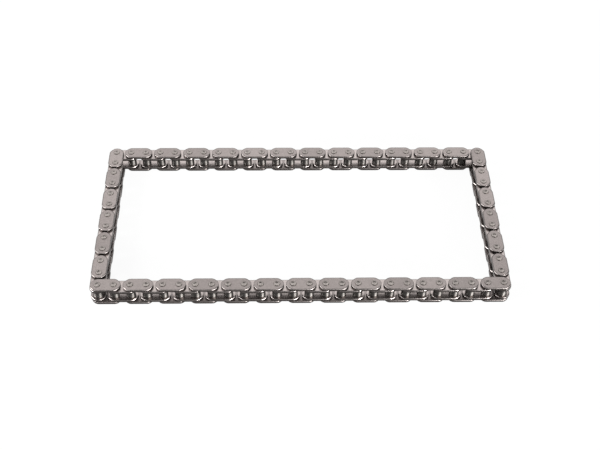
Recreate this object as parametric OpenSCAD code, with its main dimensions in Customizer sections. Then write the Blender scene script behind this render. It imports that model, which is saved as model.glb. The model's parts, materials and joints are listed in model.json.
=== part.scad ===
// Timing chain: a single strand bush chain, laid on its side as a closed rectangle.
// The pins stand upright along Z, the long runs lie along X, and the rivet heads stand on Z = 0.
// Pins and links are counted clockwise from the rear left corner, seen from above.

/* [Loop] */
// Distance between neighbouring pin centres
pitch = 8; // [7.9:0.05:12]
// Links along each long run
long_run = 25; // [6:1:25]
// Links along each short run
short_run = 12; // [4:1:12]

/* [Plates] */
// Height of a plate, across its run
plate_h = 7.8; // [6.6:0.05:8]
// Gap between the ends of neighbouring plates
plate_gap = 0.6; // [0.4:0.05:1.6]
// Radius of the four corners of a plate, as far as its height leaves an end flat
plate_corner_r = 3.7; // [1:0.05:3.85]
// Width of the tumbled bevel along the edges of a plate
plate_bevel = 0.2; // [0.05:0.01:0.3]
// Thickness of an outer plate
outer_plate_t = 1.35; // [0.6:0.05:2]
// Thickness of an inner plate
inner_plate_t = 1.35; // [0.6:0.05:2]
// Clear width between the inner plates, where the sprocket tooth goes
inner_width = 4.7; // [2:0.1:12]

/* [Pins and bushes] */
// Diameter of the pin shank
pin_d = 2.9; // [2:0.05:3.2]
// Outside diameter of the bush
bush_d = 4.6; // [4:0.05:5.4]
// Running clearance between pin and bush, on the radius
running_clearance = 0.05; // [0.02:0.01:0.1]
// Side clearance between an inner plate and the outer plate beside it
side_clearance = 0.1; // [0.05:0.01:0.3]
// Parting line round a pressed pin or bush and under a rivet head
press_line = 0.015; // [0.01:0.005:0.03]

/* [Rivet heads] */
// Diameter of the spread rivet head
head_d = 3.1; // [3:0.05:4]
// Height of the head above its outer plate
head_h = 0.25; // [0.1:0.05:0.5]
// Width of the bevel round the head
head_bevel = 0.08; // [0.02:0.01:0.09]
// Diameter of the riveting crater in the head, at its rim
crater_d = 2.4; // [1.4:0.05:2.8]
// Diameter of the crater's flat floor
crater_floor_d = 1; // [0.4:0.05:1.3]
// Depth of the crater
crater_depth = 0.3; // [0.05:0.05:0.6]

/* [Hidden] */
$fn = 96;
plate_color = [0.67, 0.63, 0.62];
pin_color = [0.74, 0.70, 0.67];
bush_color = [0.45, 0.43, 0.43];

// A right-angled turn of the loop, clockwise
corner_turn = -90;
// The pins that hold two links stiff: every fifth on a long run, every third on a short run
long_hold = 5;
short_hold = 3;
// Least length of the flat at a plate's end, between its round corners
least_end_flat = 0.2;

links = 2 * (long_run + short_run);
loop_x = long_run * pitch;
loop_y = short_run * pitch;
run_starts = [0, long_run, long_run + short_run, 2 * long_run + short_run];
run_corners = [
    [-loop_x / 2, loop_y / 2],
    [loop_x / 2, loop_y / 2],
    [loop_x / 2, -loop_y / 2],
    [-loop_x / 2, -loop_y / 2]
];
run_steps = [[pitch, 0], [0, -pitch], [-pitch, 0], [0, pitch]];

// Levels of the plates, from the lower rivet heads up
outer_low_z = head_h;
inner_low_z = outer_low_z + outer_plate_t + side_clearance;
inner_high_z = inner_low_z + inner_plate_t + inner_width;
outer_high_z = inner_high_z + inner_plate_t + side_clearance;
chain_w = outer_high_z + outer_plate_t + head_h;

plate_l = 2 * pitch - plate_gap;
corner_r = min(plate_corner_r, (plate_h - least_end_flat) / 2);
bush_bore_d = pin_d + 2 * running_clearance;
bush_l = 2 * inner_plate_t + inner_width;

// The run that a pin or link is on: 0 rear, 1 right, 2 front, 3 left
function run_of(n) = n < run_starts[1] ? 0 : n < run_starts[2] ? 1 : n < run_starts[3] ? 2 : 3;
function place_in_run(n) = n - run_starts[run_of(n)];
function pin_at(n) = run_corners[run_of(n)] + place_in_run(n) * run_steps[run_of(n)];
function hold_of(n) = run_of(n) % 2 == 0 ? long_hold : short_hold;
function is_held(n) = place_in_run(n) > 0 && place_in_run(n) % hold_of(n) == 0;
function is_inner(n) = n % 2 == 0;

// Numbers in names start at 01
function two_digits(n) = str(n < 10 ? "0" : "", n);
function link_name(n) = str(is_inner(n) ? "inner_link_" : "outer_link_", two_digits(n + 1));
function pair_name(n) = str("link_pair_", two_digits(n + 1), "_", two_digits(n + 2));
function has_partner(n) = n + 1 < links && is_held(n + 1);
function node_name(n) = has_partner(n) ? pair_name(n) : link_name(n);

// First link of every node
first_links = [for (n = [0 : links - 1]) if (!is_held(n)) n];

// One edge of a plate in section, at a distance w from the middle: bevelled below and above
function plate_edge(w, t) = [
    [w - plate_bevel, 0],
    [w, plate_bevel],
    [w, t - plate_bevel],
    [w - plate_bevel, t]
];

// A bar of width w along X and length l along Y, with both long edges bevelled
module bevelled_bar(w, l, t) {
    right = plate_edge(w / 2, t);
    left = [for (k = [len(right) - 1 : -1 : 0]) [-right[k].x, right[k].y]];
    translate([0, l / 2, 0])
        rotate([90, 0, 0])
            linear_extrude(l)
                polygon(concat(right, left));
}

// Straight sides, blunt ends and round corners, centred between the two pins
module plate_blank(t) {
    flat_h = plate_h - 2 * corner_r;
    straight_l = plate_l - 2 * corner_r;
    bevelled_bar(plate_l, flat_h, t);
    rotate(90) bevelled_bar(plate_h, straight_l, t);
    for (x = [-straight_l / 2, straight_l / 2])
        for (y = [-flat_h / 2, flat_h / 2])
            translate([x, y, 0])
                rotate_extrude()
                    polygon(concat([[0, 0]], plate_edge(corner_r, t), [[0, t]]));
}

// A plate with a hole at each pin, its near pin at the origin
module plate(t, hole_d) {
    color(plate_color)
        difference() {
            translate([pitch / 2, 0, 0]) plate_blank(t);
            for (x = [0, pitch])
                translate([x, 0, -t / 2]) cylinder(d = hole_d, h = 2 * t);
        }
}

module outer_plate() {
    plate(outer_plate_t, pin_d + 2 * press_line);
}

module inner_plate() {
    plate(inner_plate_t, bush_d + 2 * press_line);
}

// Half of a pin's section, up to mid length: crater, bevelled head, step to the shank
function half_pin(middle_z) = [
    [0, crater_depth],
    [crater_floor_d / 2, crater_depth],
    [crater_d / 2, 0],
    [head_d / 2 - head_bevel, 0],
    [head_d / 2, head_bevel],
    [head_d / 2, head_h - press_line],
    [pin_d / 2, head_h - press_line],
    [pin_d / 2, middle_z]
];

module pin() {
    lower = half_pin(chain_w / 2);
    upper = [for (k = [len(lower) - 2 : -1 : 0]) [lower[k].x, chain_w - lower[k].y]];
    color(pin_color)
        rotate_extrude()
            polygon(concat(lower, upper));
}

module bush() {
    color(bush_color)
        rotate_extrude()
            translate([bush_bore_d / 2, 0])
                square([(bush_d - bush_bore_d) / 2, bush_l]);
}

// Two outer plates riveted on two pins
module outer_link() {
    for (z = [outer_low_z, outer_high_z])
        translate([0, 0, z]) outer_plate();
    for (x = [0, pitch])
        translate([x, 0, 0]) pin();
}

// Two inner plates pressed on two bushes
module inner_link() {
    for (z = [inner_low_z, inner_high_z])
        translate([0, 0, z]) inner_plate();
    for (x = [0, pitch])
        translate([x, 0, inner_low_z]) bush();
}

module link(n) {
    translate(pin_at(n))
        rotate(run_of(n) * corner_turn)
            if (is_inner(n)) inner_link();
            else outer_link();
}

// One link, or two where the pin between them is held
module link_node(n) {
    link(n);
    if (has_partner(n)) link(n + 1);
}

for (n = first_links)
    link_node(n);
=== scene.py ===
import json
import math

import bmesh
import bpy
from mathutils import Matrix, Vector


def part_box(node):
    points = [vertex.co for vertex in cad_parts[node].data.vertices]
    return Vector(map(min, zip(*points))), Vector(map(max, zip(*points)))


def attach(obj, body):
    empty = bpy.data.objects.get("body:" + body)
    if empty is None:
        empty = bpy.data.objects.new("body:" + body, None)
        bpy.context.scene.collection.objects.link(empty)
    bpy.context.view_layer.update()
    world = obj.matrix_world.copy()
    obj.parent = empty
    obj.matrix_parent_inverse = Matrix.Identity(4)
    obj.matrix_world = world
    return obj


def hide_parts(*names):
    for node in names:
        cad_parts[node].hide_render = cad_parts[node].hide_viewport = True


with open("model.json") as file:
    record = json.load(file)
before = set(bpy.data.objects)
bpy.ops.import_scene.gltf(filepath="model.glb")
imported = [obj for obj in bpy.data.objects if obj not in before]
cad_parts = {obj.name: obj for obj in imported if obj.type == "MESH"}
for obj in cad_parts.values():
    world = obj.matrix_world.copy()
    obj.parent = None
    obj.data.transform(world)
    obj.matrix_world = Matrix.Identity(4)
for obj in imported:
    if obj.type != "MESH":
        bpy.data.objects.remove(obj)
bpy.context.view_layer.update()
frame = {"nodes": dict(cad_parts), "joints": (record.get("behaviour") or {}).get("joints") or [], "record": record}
scene = bpy.context.scene
scene.view_settings.view_transform = "Standard"
mm = 0.001
print("frame loaded,", len(frame["nodes"]), "nodes")

# where the loop's corners are and how big its plates are, taken from the frame
pinPlace = {joint["name"]: Vector(joint["pos_m"]) for joint in frame["joints"]}
cornerPins = ["pin_01", "pin_26", "pin_38", "pin_63"]  # clockwise from the rear left
pitch = (pinPlace["pin_02"] - pinPlace["pin_01"]).length
outerLow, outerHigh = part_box("outer_link_02")
innerLow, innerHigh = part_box("inner_link_01")
plateSize = innerHigh - innerLow  # length, height and the span over both inner plates
chainWidth = outerHigh.z - outerLow.z


def wire(tree, kind, inputs=None, **settings):
    # one node, with its settings, and its inputs either linked or set
    made = tree.nodes.new(kind)
    for key, value in settings.items():
        setattr(made, key, value)
    for key, value in (inputs or {}).items():
        if isinstance(value, bpy.types.NodeSocket):
            tree.links.new(value, made.inputs[key])
        else:
            made.inputs[key].default_value = value
    return made


def sums(tree, operation, *values, clamp=False):
    made = wire(tree, "ShaderNodeMath", dict(enumerate(values)), operation=operation, use_clamp=clamp)
    return made.outputs[0]


def spread(tree, value, low, high, toLow=0.0, toHigh=1.0):
    inputs = {"Value": value, "From Min": low, "From Max": high, "To Min": toLow, "To Max": toHigh}
    return wire(tree, "ShaderNodeMapRange", inputs).outputs["Result"]


def blendColours(tree, factor, first, second, how="MIX"):
    made = wire(tree, "ShaderNodeMix", {0: factor, 6: first, 7: second}, data_type="RGBA", blend_type=how)
    return made.outputs[2]


def noise(tree, place, stretch, detail=2.0, rough=0.5):
    scaled = wire(tree, "ShaderNodeVectorMath", {0: place, 1: stretch}, operation="MULTIPLY")
    inputs = {"Vector": scaled.outputs[0], "Scale": 1.0, "Detail": detail, "Roughness": rough}
    return wire(tree, "ShaderNodeTexNoise", inputs).outputs["Fac"]


def newSteel(name):
    steel = bpy.data.materials.new(name)
    steel.use_nodes = True
    tree = steel.node_tree
    shader = tree.nodes["Principled BSDF"]
    shader.inputs["Metallic"].default_value = 1.0
    return steel, tree, shader


def linkPlace(tree):
    return wire(tree, "ShaderNodeAttribute", attribute_name="linkPlace").outputs["Vector"]


def linkTone(tree):
    return wire(tree, "ShaderNodeAttribute", attribute_name="linkTone").outputs["Fac"]


toneShift = (0.31, 0.17, 0.05)  # metres


def ownPlace(tree):
    # place within the link, shifted by the link's own tone so that no two links match
    shift = wire(tree, "ShaderNodeVectorMath", {0: toneShift, 3: linkTone(tree)}, operation="SCALE")
    moved = wire(tree, "ShaderNodeVectorMath", {0: linkPlace(tree), 1: shift.outputs[0]}, operation="ADD")
    return moved.outputs[0]


def addBump(tree, shader, strength, depth, height):
    bump = wire(tree, "ShaderNodeBump", {"Strength": strength, "Distance": depth, "Height": height})
    tree.links.new(bump.outputs[0], shader.inputs["Normal"])


def pinDistance(tree, place):
    # distance from the nearer pin's axis, in metres
    parts = wire(tree, "ShaderNodeSeparateXYZ", {0: place})
    along = sums(tree, "SUBTRACT", sums(tree, "ABSOLUTE", parts.outputs[0]), pitch / 2)
    flat = wire(tree, "ShaderNodeCombineXYZ", {0: along, 1: parts.outputs[1]})
    return wire(tree, "ShaderNodeVectorMath", {0: flat.outputs[0]}, operation="LENGTH").outputs["Value"]


plateFinish = {
    "wornRough": 0.06,
    "grime": (0.15, 0.13, 0.115, 1),
    "grain": (500, 7000, 2500),  # rolled along the link
    "speckle": (5200, 5200, 5200),
    "smudge": (900, 900, 900),
    "toneShare": 0.22,  # how much of the tone differs from link to link
    "grimeReach": 0.4 * mm,
    "grimeShare": 0.6,
    "bumpDepth": 0.006 * mm,
}
# the inner plates are a little paler and smoother
outerTones = {
    "pale": (0.44, 0.39, 0.375, 1),
    "dull": (0.32, 0.283, 0.273, 1),
    "worn": (0.18, 0.165, 0.159, 1),
    "rough": (0.44, 0.34),
}
innerTones = {
    "pale": (0.62, 0.551, 0.53, 1),
    "dull": (0.45, 0.401, 0.386, 1),
    "worn": (0.26, 0.24, 0.231, 1),
    "rough": (0.32, 0.24),
}


def plateSteel(name, finish, tones, holeRadius):
    steel, tree, shader = newSteel(name)
    moved = ownPlace(tree)
    grain = noise(tree, moved, finish["grain"], 3.0)
    speckle = noise(tree, moved, finish["speckle"], 2.0, 0.6)
    smudge = noise(tree, moved, finish["smudge"], 3.0, 0.55)
    mixed = sums(tree, "MULTIPLY_ADD", grain, 0.3, sums(tree, "MULTIPLY", speckle, 0.3))
    mixed = sums(tree, "MULTIPLY_ADD", smudge, 0.4, mixed)
    share = finish["toneShare"]
    toned = sums(tree, "MULTIPLY_ADD", linkTone(tree), share, sums(tree, "SUBTRACT", mixed, share / 2))
    colour = blendColours(tree, spread(tree, toned, 0.3, 0.7), tones["dull"], tones["pale"])
    wear = wire(tree, "ShaderNodeAttribute", attribute_name="edgeWear").outputs["Fac"]
    broken = sums(tree, "MULTIPLY", wear, spread(tree, smudge, 0.3, 0.55, 0.35, 0.9))
    colour = blendColours(tree, broken, colour, tones["worn"])
    away = pinDistance(tree, linkPlace(tree))
    near = spread(tree, away, holeRadius + finish["grimeReach"], holeRadius)
    grime = sums(tree, "MULTIPLY", near, spread(tree, smudge, 0.35, 0.65, 0.2, 1.0))
    colour = blendColours(tree, sums(tree, "MULTIPLY", grime, finish["grimeShare"]), colour, finish["grime"])
    tree.links.new(colour, shader.inputs["Base Color"])
    polish = spread(tree, mixed, 0.3, 0.7, *tones["rough"])
    tree.links.new(sums(tree, "MULTIPLY_ADD", wear, finish["wornRough"], polish), shader.inputs["Roughness"])
    addBump(tree, shader, 0.5, finish["bumpDepth"], sums(tree, "ADD", grain, speckle))
    return steel


# painted shade: the plates' sides are the same steel as their faces, given much darker tones so that they look
# shaded; the torn and burnished bands follow the blanked edge
sideFinishAndShade = {
    "burnished": (0.063, 0.054, 0.0504, 1),
    "torn": (0.034, 0.0295, 0.0278, 1),
    "shearLines": (3200, 3200, 260),
    "rough": (0.45, 0.3),
    "bumpDepth": 0.01 * mm,
}


def sideSteel(finish):
    steel, tree, shader = newSteel("shearedAndShadedSideSteel")
    lines = noise(tree, ownPlace(tree), finish["shearLines"], 2.0, 0.6)
    height = wire(tree, "ShaderNodeAttribute", attribute_name="sideHeight").outputs["Fac"]
    band = sums(tree, "MULTIPLY_ADD", lines, 0.5, sums(tree, "SUBTRACT", height, 0.25))
    share = spread(tree, band, 0.35, 0.75)
    colour = blendColours(tree, share, finish["torn"], finish["burnished"])
    tree.links.new(colour, shader.inputs["Base Color"])
    tree.links.new(spread(tree, share, 0, 1, *finish["rough"]), shader.inputs["Roughness"])
    addBump(tree, shader, 0.5, finish["bumpDepth"], lines)
    return steel


pinFinish = {
    "bright": (0.47, 0.431, 0.404, 1),
    "dull": (0.42, 0.379, 0.358, 1),
    "oilAndShade": (0.035, 0.03, 0.026, 1),
    "speckle": (4500, 4500, 4500),
    "blotch": (1300, 1300, 1300),
    "footStart": 0.89,  # painted shade darkens a ring at the head's foot, between these shares of its radius
    "footEnd": 0.97,
    "footShade": 0.95,
    "blotchOil": 0.45,
    "rough": (0.28, 0.42),
    "bumpDepth": 0.006 * mm,
}


def pinSteel(finish, headRadius):
    steel, tree, shader = newSteel("rivetedPinSteel")
    moved = ownPlace(tree)
    speckle = noise(tree, moved, finish["speckle"], 3.0, 0.6)
    colour = blendColours(tree, spread(tree, speckle, 0.35, 0.65), finish["dull"], finish["bright"])
    away = pinDistance(tree, linkPlace(tree))
    footStart, footEnd = headRadius * finish["footStart"], headRadius * finish["footEnd"]
    # the dark ring at the head's foot is painted shade; the blotches are oil
    footShadeMask = spread(tree, away, footStart, footEnd, 0, finish["footShade"])
    blotch = noise(tree, moved, finish["blotch"], 2.0, 0.5)
    oilAndShade = sums(tree, "MAXIMUM", footShadeMask, spread(tree, blotch, 0.5, 0.64, 0, finish["blotchOil"]))
    colour = blendColours(tree, oilAndShade, colour, finish["oilAndShade"])
    tree.links.new(colour, shader.inputs["Base Color"])
    tree.links.new(spread(tree, speckle, 0.3, 0.7, *finish["rough"]), shader.inputs["Roughness"])
    addBump(tree, shader, 0.4, finish["bumpDepth"], speckle)
    return steel


# painted shade: the bush steel is kept very dark so that, mirroring the white floor, it looks shaded between the
# plates; the ground rings and film are its own grain
bushFinish = {
    "dark": (0.08, 0.075, 0.07, 1),
    "bright": (0.16, 0.15, 0.141, 1),
    "rings": (300, 300, 9000),  # ground round the axis
    "film": (700, 700, 350),
    "rough": (0.66, 0.76),
    "bumpDepth": 0.004 * mm,
}


def bushSteel(finish):
    steel, tree, shader = newSteel("groundBushSteel")
    moved = ownPlace(tree)
    rings = noise(tree, moved, finish["rings"], 3.0, 0.6)
    film = noise(tree, moved, finish["film"], 2.0, 0.5)
    share = sums(tree, "MULTIPLY_ADD", rings, 0.5, sums(tree, "MULTIPLY", film, 0.5))
    colour = blendColours(tree, spread(tree, share, 0.35, 0.65), finish["dark"], finish["bright"])
    tree.links.new(colour, shader.inputs["Base Color"])
    tree.links.new(spread(tree, film, 0.3, 0.7, *finish["rough"]), shader.inputs["Roughness"])
    shader.inputs["Anisotropic"].default_value = 1.0
    shader.inputs["Anisotropic Rotation"].default_value = 0.25
    around = wire(tree, "ShaderNodeTangent", direction_type="UV_MAP", uv_map="wrap")
    tree.links.new(around.outputs[0], shader.inputs["Tangent"])
    addBump(tree, shader, 0.3, finish["bumpDepth"], rings)
    return steel


# finish numbers that the link meshes carry on their faces
finishes = {"Outer Plate": 0, "Inner Plate": 1, "Side": 2, "Pin": 3, "Bush": 4}


class LinkMesh:
    # gathers plates, pins and bushes of one link, which lies along X with its middle at the origin
    def __init__(self, name):
        self.name = name
        self.bm = bmesh.new()
        self.finish = self.bm.faces.layers.int.new("finish")
        self.edgeWear = self.bm.verts.layers.float.new("edgeWear")
        self.sideHeight = self.bm.verts.layers.float.new("sideHeight")
        self.wrap = self.bm.loops.layers.uv.new("wrap")

    def ring(self, points, wear=0.0, height=0.0):
        made = [self.bm.verts.new(point) for point in points]
        for vert in made:
            vert[self.edgeWear] = wear
            vert[self.sideHeight] = height
        return made

    def face(self, verts, finish, uvs=None, smooth=True):
        made = self.bm.faces.new(verts)
        made[self.finish] = finishes[finish]
        made.smooth = smooth
        for loop, uv in zip(made.loops, uvs or [(0, 0)] * len(verts)):
            loop[self.wrap].uv = uv
        return made

    def bridge(self, lower, upper, finish, smooth=True):
        # quads between two rings, with u round the ring and v up it
        count = len(lower)
        for k in range(count):
            n = (k + 1) % count
            uvs = [(k / count, 0), ((k + 1) / count, 0), ((k + 1) / count, 1), (k / count, 1)]
            self.face([lower[k], lower[n], upper[n], upper[k]], finish, uvs, smooth)

    def fill(self, rings, finish, up):
        # a flat face between an outline and the holes in it
        edges = [self.bm.edges.get((r[k - 1], r[k])) or self.bm.edges.new((r[k - 1], r[k]))
                 for r in rings for k in range(len(r))]
        made = bmesh.ops.triangle_fill(self.bm, edges=edges, use_beauty=True, normal=(0, 0, 1 if up else -1))
        for face in made["geom"]:
            if isinstance(face, bmesh.types.BMFace):
                face[self.finish] = finishes[finish]
                face.smooth = False
                if (face.normal.z > 0) != up:
                    face.normal_flip()

    def done(self):
        mesh = bpy.data.meshes.new(self.name)
        self.bm.normal_update()
        self.bm.to_mesh(mesh)
        self.bm.free()
        made = bpy.data.objects.new(self.name, mesh)
        scene.collection.objects.link(made)
        return made


def circle(radius, steps, centre, z):
    turns = [2 * math.pi * k / steps for k in range(steps)]
    return [(centre + radius * math.cos(a), radius * math.sin(a), z) for a in turns]


plate = {
    "thickness": 1.35 * mm,
    "cornerRadius": 3.7 * mm,
    "outerTrim": 0.25 * mm,  # how much shorter the ends are than the solids' ends, to fit the photo
    "innerTrim": 0.04 * mm,
    "cornerFlat": 0.04,  # share of the corner's radius that is missing half way round it
    "edgeRoll": 0.3 * mm,
    "endRoll": 0.1 * mm,
    "endStart": 50.0,  # degrees from a long side
    "cornerRoll": 0.28 * mm,  # blanking rolls the edge over further where the outline turns
    "rollPeak": 32.0,
    "rollWidth": 40.0,
    "burrRound": 0.15 * mm,
    "edgeSteps": 7,
    "rimSteps": 5,  # steps of the upper roll that are tumbled bright
    "cornerSteps": 8,
    "wornBand": 0.22 * mm,
    "lowWear": 0.6,
    "highWear": 1.0,
    "holeSteps": 24,
}


def plateOutline(trim):
    # points round a plate's four corners: centre, direction and how far the edge is rolled over
    farX = plateSize.x / 2 - plate["cornerRadius"]
    farY = plateSize.y / 2 - plate["cornerRadius"]
    short = 1 - trim / plate["cornerRadius"]
    points = []
    for corner, (sideX, sideY) in enumerate([(1, 1), (-1, 1), (-1, -1), (1, -1)]):
        for step in range(plate["cornerSteps"] + 1):
            share = step / plate["cornerSteps"]
            turn = math.pi / 2 * (corner + share)
            fromSide = 90 * (share if corner % 2 else 1 - share)
            near = min(abs(fromSide - plate["rollPeak"]) / plate["rollWidth"], 1)
            atEnd = max(fromSide - plate["endStart"], 0) / (90 - plate["endStart"])
            roll = plate["edgeRoll"] + plate["cornerRoll"] * math.cos(math.pi / 2 * near)
            roll += (plate["endRoll"] - plate["edgeRoll"]) * atEnd
            flat = 1 - plate["cornerFlat"] * math.sin(2 * turn) ** 2
            outX = flat * short * math.cos(turn)
            outY = flat * math.sin(turn)
            points.append((sideX * farX, sideY * farY, outX, outY, roll))
    return points


def plateRing(outline, z, turn, band=0.0, rolled=None):
    # one ring round a plate: turn runs from the flat face at 0 to the side at a right angle
    points = []
    for x, y, outX, outY, roll in outline:
        roll = rolled or roll
        reach = plate["cornerRadius"] - roll * (1 - math.sin(turn)) - band
        drop = roll * (1 - math.cos(turn))
        points.append((x + reach * outX, y + reach * outY, z + drop if rolled else z - drop))
    return points


def addPlate(link, low, holeRadius, trim, finish, under):
    outline = plateOutline(trim)
    high = low + plate["thickness"]
    burr = plate["burrRound"]
    turns = [math.pi / 2 * k / plate["edgeSteps"] for k in range(plate["edgeSteps"] + 1)]
    lowest = link.ring(plateRing(outline, low, 0.0, plate["wornBand"], burr))
    highest = link.ring(plateRing(outline, high, 0.0, plate["wornBand"]))
    rings = [link.ring(plateRing(outline, low, turn, rolled=burr), plate["lowWear"], 0.0) for turn in turns]
    rings += [link.ring(plateRing(outline, high, turn), plate["highWear"], 1.0) for turn in reversed(turns)]
    link.bridge(lowest, rings[0], under, smooth=False)
    # the rolled walls below the tumbled rim take the side steel, painted darker as shade
    for k, (lower, upper) in enumerate(zip(rings, rings[1:])):
        link.bridge(lower, upper, finish if k >= len(rings) - 1 - plate["rimSteps"] else "Side")
    link.bridge(rings[-1], highest, finish, smooth=False)
    holes = [[link.ring(circle(holeRadius, plate["holeSteps"], x, z)) for z in (low, high)]
             for x in (-pitch / 2, pitch / 2)]
    for below, above in holes:
        link.bridge(above, below, "Side")
    link.fill([lowest] + [below for below, above in holes], under, up=False)
    link.fill([highest] + [above for below, above in holes], finish, up=True)


pin = {
    "shankRadius": 1.45 * mm,
    "headRadius": 1.55 * mm,
    "headHeight": 0.25 * mm,
    "headRound": 0.08 * mm,
    "craterRadius": 1.2 * mm,
    "floorRadius": 0.5 * mm,
    "craterDepth": 0.29 * mm,
    "headLift": 0.01 * mm,  # parting line under the head
    "steps": 24,
}


def pinProfile():
    # radius and height from the lower head's crater out to the shank
    head = pin["headRadius"]
    soft = pin["headRound"]
    lip = pin["craterRadius"]
    floor = pin["floorRadius"]
    deep = pin["craterDepth"]
    under = pin["headHeight"] - pin["headLift"]
    return [
        (floor * 0.8, deep),
        (floor * 1.15, deep * 0.94),
        (lip * 0.93, deep * 0.1),
        (lip * 1.04, 0.0),
        (head - soft * 2.2, 0.0),
        (head - soft * 0.9, soft * 0.3),
        (head - soft * 0.2, soft * 0.95),
        (head, soft * 1.6),
        (head, under),
        (pin["shankRadius"], under),
    ]


def addPin(link, x):
    below = pinProfile()
    above = [(radius, chainWidth - z) for radius, z in reversed(below)]
    rings = [link.ring(circle(radius, pin["steps"], x, z)) for radius, z in below + above]
    for lower, upper in zip(rings, rings[1:]):
        link.bridge(lower, upper, "Pin")
    link.face(list(reversed(rings[0])), "Pin")
    link.face(rings[-1], "Pin")


bush = {"radius": 2.3 * mm, "bore": 1.5 * mm, "steps": 28}


def addBush(link, x):
    low, high = innerLow.z, innerHigh.z
    outside = [link.ring(circle(bush["radius"], bush["steps"], x, z)) for z in (low, high)]
    inside = [link.ring(circle(bush["bore"], bush["steps"], x, z)) for z in (low, high)]
    link.bridge(outside[0], outside[1], "Bush")
    link.bridge(inside[1], inside[0], "Bush")
    link.bridge(inside[0], outside[0], "Bush", smooth=False)
    link.bridge(outside[1], inside[1], "Bush", smooth=False)


fitGap = 0.015 * mm  # parting line round a pressed pin or bush


def outerLinkMesh():
    link = LinkMesh("outerLinkShape")
    for low in (pin["headHeight"], chainWidth - pin["headHeight"] - plate["thickness"]):
        addPlate(link, low, pin["shankRadius"] + fitGap, plate["outerTrim"], "Outer Plate", "Outer Plate")
    for x in (-pitch / 2, pitch / 2):
        addPin(link, x)
    return link.done()


def innerLinkMesh():
    link = LinkMesh("innerLinkShape")
    # painted shade: the upper plate's underside, between the bushes, takes the dark side steel
    for low, under in ((innerLow.z, "Inner Plate"), (innerHigh.z - plate["thickness"], "Side")):
        addPlate(link, low, bush["radius"] + fitGap, plate["innerTrim"], "Inner Plate", under)
    for x in (-pitch / 2, pitch / 2):
        addBush(link, x)
    return link.done()


outerLink = outerLinkMesh()
innerLink = innerLinkMesh()
print("link shapes made,", len(outerLink.data.polygons), "and", len(innerLink.data.polygons), "faces")


def loopPath():
    curve = bpy.data.curves.new("loopPath", "CURVE")
    curve.dimensions = "3D"
    spline = curve.splines.new("POLY")
    spline.points.add(len(cornerPins) - 1)
    for point, name in zip(spline.points, cornerPins):
        point.co = (pinPlace[name].x, pinPlace[name].y, 0, 1)
    spline.use_cyclic_u = True
    made = bpy.data.objects.new("loopPath", curve)
    scene.collection.objects.link(made)
    return made


def chainTree():
    # links strung along the loop's path: even places take inner links and odd ones outer links
    tree = bpy.data.node_groups.new("chainAlongPath", "GeometryNodeTree")
    sockets = {}

    def needs(name, kind, default=None):
        made = tree.interface.new_socket(name, in_out="INPUT", socket_type="NodeSocket" + kind)
        if default is not None:
            made.default_value = default
        sockets[name] = made.identifier

    needs("Path", "Object")
    needs("Outer Link", "Object")
    needs("Inner Link", "Object")
    needs("Pitch", "Float", pitch)
    needs("First Link", "Int", 0)
    needs("Link Count", "Int", 1)
    needs("Seed", "Int", 0)
    for name in finishes:
        needs(name + " Steel", "Material")
    tree.interface.new_socket("Geometry", in_out="OUTPUT", socket_type="NodeSocketGeometry")
    given = tree.nodes.new("NodeGroupInput").outputs

    index = wire(tree, "GeometryNodeInputIndex").outputs[0]
    number = sums(tree, "ADD", index, given["First Link"])
    path = wire(tree, "GeometryNodeObjectInfo", {"Object": given["Path"]}).outputs["Geometry"]

    def pinAlong(count):
        length = sums(tree, "MULTIPLY", count, given["Pitch"])
        found = wire(tree, "GeometryNodeSampleCurve", {"Curves": path, "Length": length}, mode="LENGTH")
        return found.outputs["Position"]

    nearPin = pinAlong(number)
    farPin = pinAlong(sums(tree, "ADD", number, 1.0))
    middle = wire(tree, "ShaderNodeMix", {0: 0.5, 4: nearPin, 5: farPin}, data_type="VECTOR").outputs[1]
    points = wire(tree, "GeometryNodePoints", {"Count": given["Link Count"], "Position": middle})
    tone = wire(tree, "FunctionNodeRandomValue", {"ID": number, "Seed": given["Seed"]}, data_type="FLOAT")
    toned = wire(tree, "GeometryNodeStoreNamedAttribute",
                 {"Geometry": points.outputs[0], "Name": "linkTone", "Value": tone.outputs[1]},
                 data_type="FLOAT", domain="POINT").outputs[0]

    ahead = wire(tree, "ShaderNodeVectorMath", {0: farPin, 1: nearPin}, operation="SUBTRACT").outputs[0]
    heading = wire(tree, "ShaderNodeSeparateXYZ", {0: ahead})
    turn = sums(tree, "ARCTAN2", heading.outputs[1], heading.outputs[0])
    euler = wire(tree, "ShaderNodeCombineXYZ", {2: turn}).outputs[0]
    turned = wire(tree, "FunctionNodeEulerToRotation", {0: euler}).outputs[0]
    isOuter = sums(tree, "MODULO", number, 2.0)
    isInner = sums(tree, "SUBTRACT", 1.0, isOuter)
    strung = wire(tree, "GeometryNodeJoinGeometry")
    for shape, chosen in (("Outer Link", isOuter), ("Inner Link", isInner)):
        source = wire(tree, "GeometryNodeObjectInfo", {"Object": given[shape]}).outputs["Geometry"]
        position = wire(tree, "GeometryNodeInputPosition").outputs[0]
        placed = wire(tree, "GeometryNodeStoreNamedAttribute",
                      {"Geometry": source, "Name": "linkPlace", "Value": position},
                      data_type="FLOAT_VECTOR", domain="POINT").outputs[0]
        copies = wire(tree, "GeometryNodeInstanceOnPoints",
                      {"Points": toned, "Selection": chosen, "Instance": placed, "Rotation": turned})
        tree.links.new(copies.outputs[0], strung.inputs[0])

    shown = wire(tree, "GeometryNodeRealizeInstances", {"Geometry": strung.outputs[0]}).outputs[0]
    kind = wire(tree, "GeometryNodeInputNamedAttribute", {"Name": "finish"}, data_type="INT").outputs[0]
    for name in finishes:
        same = wire(tree, "FunctionNodeCompare", {2: kind, 3: finishes[name]},
                    data_type="INT", operation="EQUAL")
        shown = wire(tree, "GeometryNodeSetMaterial",
                     {"Geometry": shown, "Selection": same.outputs[0],
                      "Material": given[name + " Steel"]}).outputs[0]
    tree.links.new(shown, tree.nodes.new("NodeGroupOutput").inputs[0])
    return tree, sockets


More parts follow.
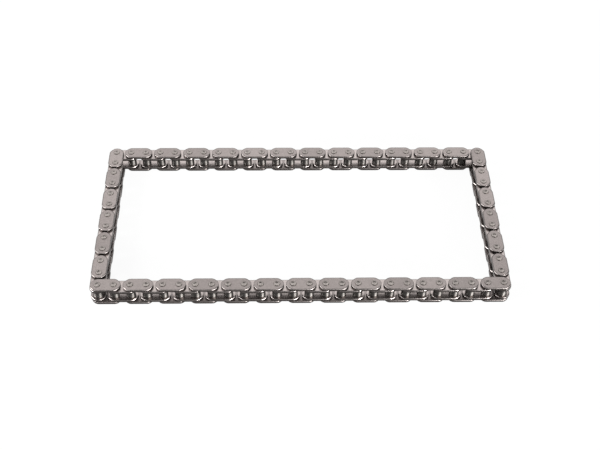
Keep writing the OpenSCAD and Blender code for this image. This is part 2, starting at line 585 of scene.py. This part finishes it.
chainLook = {"seed": 7}
path = loopPath()
strungLinks, sockets = chainTree()
steels = {
    "Outer Plate Steel": plateSteel("outerPlateSteel", plateFinish, outerTones, pin["headRadius"]),
    "Inner Plate Steel": plateSteel("innerPlateSteel", plateFinish, innerTones, bush["radius"]),
    "Side Steel": sideSteel(sideFinishAndShade),
    "Pin Steel": pinSteel(pinFinish, pin["headRadius"]),
    "Bush Steel": bushSteel(bushFinish),
}


def dressNode(node):
    # the node's own links, as one plain mesh
    numbers = [int(word) for word in node.split("_") if word.isdigit()]
    piece = bpy.data.objects.new("steel_" + node, bpy.data.meshes.new("steel_" + node))
    scene.collection.objects.link(piece)
    strung = piece.modifiers.new("chain", "NODES")
    strung.node_group = strungLinks
    values = {"Path": path, "Outer Link": outerLink, "Inner Link": innerLink, "Pitch": pitch,
              "First Link": numbers[0] - 1, "Link Count": len(numbers), "Seed": chainLook["seed"]}
    for name, value in {**values, **steels}.items():
        strung[sockets[name]] = value
    return piece


dressed = {node: dressNode(node) for node in frame["nodes"]}
depsgraph = bpy.context.evaluated_depsgraph_get()
for piece in dressed.values():
    mesh = bpy.data.meshes.new_from_object(piece.evaluated_get(depsgraph), depsgraph=depsgraph)
    piece.modifiers.clear()
    piece.data = mesh
for source in (path, outerLink, innerLink):
    bpy.data.objects.remove(source)

for body, nodes in frame["record"]["behaviour"]["bodies"].items():
    for node in nodes:
        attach(dressed[node], body)
        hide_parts(node)
print("links strung,", len(dressed), "pieces,", sum(len(p.data.polygons) for p in dressed.values()), "faces")


view = {
    "lens": 63.16,
    "sensor": 36.0,
    "azimuth": 1.927,  # the camera looks a little to the right of +Y
    "elevation": 46.061,
    "roll": 1.142,
    "target": (0.0992 * mm, -8.1816 * mm, chainWidth - 0.15 * mm),
    "distance": 544.48 * mm,
}


def addCamera():
    turn, tilt, roll = (math.radians(view[key]) for key in ("azimuth", "elevation", "roll"))
    ahead = Vector((math.sin(turn) * math.cos(tilt), math.cos(turn) * math.cos(tilt), -math.sin(tilt)))
    right = Vector((math.cos(turn), -math.sin(turn), 0))
    up = right.cross(ahead)
    camX = right * math.cos(roll) + up * math.sin(roll)
    camY = up * math.cos(roll) - right * math.sin(roll)
    camera = bpy.data.objects.new("camera", bpy.data.cameras.new("camera"))
    camera.data.lens = view["lens"]
    camera.data.sensor_width = view["sensor"]
    camera.data.clip_start = 0.01
    turned = Matrix((camX, camY, -ahead)).transposed().to_4x4()
    camera.matrix_world = Matrix.Translation(Vector(view["target"]) - ahead * view["distance"]) @ turned
    scene.collection.objects.link(camera)
    scene.camera = camera


softboxes = {
    "backSoftbox": {"place": (0.0, 0.78, 0.62), "size": (1.7, 0.95), "power": 5.3},
    "rightSoftbox": {"place": (1.4, -1.54, 0.385), "size": (1.15, 0.6), "power": 156.0},
    "leftSoftbox": {"place": (-1.15, -0.14, 0.59), "size": (0.56, 0.7), "power": 26.0},
}
worldGrey = 0.15


def addLights():
    for name, box in softboxes.items():
        lamp = bpy.data.lights.new(name, "AREA")
        lamp.shape = "RECTANGLE"
        lamp.size, lamp.size_y = box["size"]
        lamp.energy = box["power"]
        made = bpy.data.objects.new(name, lamp)
        made.location = box["place"]
        made.rotation_euler = (-Vector(box["place"])).to_track_quat("-Z", "Y").to_euler()
        scene.collection.objects.link(made)
    world = bpy.data.worlds.new("studio")
    world.use_nodes = True
    world.node_tree.nodes["Background"].inputs["Color"].default_value = (worldGrey, worldGrey, worldGrey, 1)
    scene.world = world


floorLook = {"half": 8.0, "drop": 0.02 * mm, "colour": (0.95, 0.95, 0.95, 1), "glow": 0.94}


def addFloor():
    bm = bmesh.new()
    bmesh.ops.create_grid(bm, x_segments=1, y_segments=1, size=floorLook["half"])
    mesh = bpy.data.meshes.new("floor")
    bm.to_mesh(mesh)
    bm.free()
    mesh.transform(Matrix.Translation((0, 0, -floorLook["drop"])))
    floor = bpy.data.objects.new("floor", mesh)
    scene.collection.objects.link(floor)
    paper = bpy.data.materials.new("palePaper")
    paper.use_nodes = True
    tree = paper.node_tree
    tree.nodes.remove(tree.nodes["Principled BSDF"])
    matt = wire(tree, "ShaderNodeBsdfDiffuse", {"Color": floorLook["colour"]})
    white = wire(tree, "ShaderNodeEmission", {"Strength": 1.0})
    ray = wire(tree, "ShaderNodeLightPath").outputs
    seen = sums(tree, "MAXIMUM", ray["Is Camera Ray"], ray["Is Glossy Ray"])
    seen = sums(tree, "MAXIMUM", seen, ray["Is Transmission Ray"])
    share = sums(tree, "MULTIPLY", seen, floorLook["glow"])
    mixed = wire(tree, "ShaderNodeMixShader", {0: share, 1: matt.outputs[0], 2: white.outputs[0]})
    tree.links.new(mixed.outputs[0], tree.nodes["Material Output"].inputs["Surface"])
    mesh.materials.append(paper)


addCamera()
addLights()
addFloor()
print("camera, lights and floor placed")
